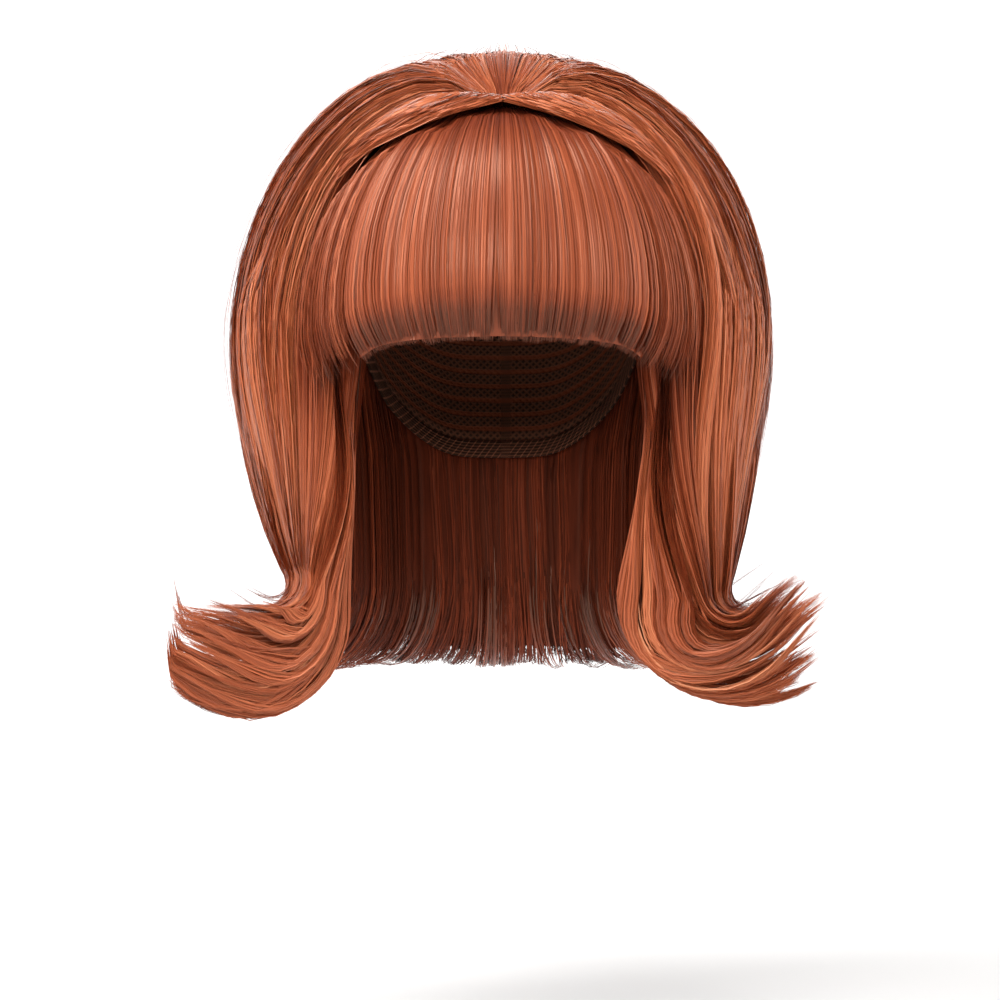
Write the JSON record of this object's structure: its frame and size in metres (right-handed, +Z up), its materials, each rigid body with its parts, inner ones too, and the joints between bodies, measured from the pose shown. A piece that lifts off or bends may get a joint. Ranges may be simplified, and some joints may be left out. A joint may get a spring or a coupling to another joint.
{
  "type": "beehive wig",
  "caption": "Copper beehive wig: raised crown swept back from a gather, full straight fringe, shoulder-length sides with outward-flipped ends.",
  "frame": {"origin": "crown of the wearer's head, where the inside of the cap bears on it", "axes": "+Z up, the wearer looks along -Y, +X is the viewer's right"},
  "size_m": [0.3116, 0.2509, 0.3264],
  "materials": {
    "hair_fibre": "satin",
    "cap_lace": "matte",
    "elastic_band": "matte"
  },
  "bodies": {
    "root": {"stretch_cap": "cap_lace", "cap_edge_band": "elastic_band", "gather_knot": "hair_fibre", "fringe_lock_1": "hair_fibre", "fringe_lock_2": "hair_fibre", "fringe_lock_3": "hair_fibre", "fringe_lock_4": "hair_fibre", "fringe_lock_5": "hair_fibre", "fringe_lock_6": "hair_fibre", "fringe_lock_7": "hair_fibre", "left_face_lock": "hair_fibre", "left_temple_sweep_1": "hair_fibre", "left_temple_sweep_2": "hair_fibre", "left_temple_sweep_3": "hair_fibre", "left_crown_lock_1": "hair_fibre", "left_crown_lock_2": "hair_fibre", "left_crown_lock_3": "hair_fibre", "left_crown_lock_4": "hair_fibre", "left_crown_lock_5": "hair_fibre", "left_crown_lock_6": "hair_fibre", "left_under_face_lock": "hair_fibre", "left_under_lock_1": "hair_fibre", "left_under_lock_2": "hair_fibre", "left_under_lock_3": "hair_fibre", "left_under_lock_4": "hair_fibre", "right_face_lock": "hair_fibre", "right_temple_sweep_1": "hair_fibre", "right_temple_sweep_2": "hair_fibre", "right_temple_sweep_3": "hair_fibre", "right_crown_lock_1": "hair_fibre", "right_crown_lock_2": "hair_fibre", "right_crown_lock_3": "hair_fibre", "right_crown_lock_4": "hair_fibre", "right_crown_lock_5": "hair_fibre", "right_crown_lock_6": "hair_fibre", "right_under_face_lock": "hair_fibre", "right_under_lock_1": "hair_fibre", "right_under_lock_2": "hair_fibre", "right_under_lock_3": "hair_fibre", "right_under_lock_4": "hair_fibre", "back_lock": "hair_fibre", "under_back_lock": "hair_fibre"}
  },
  "joints": []
}
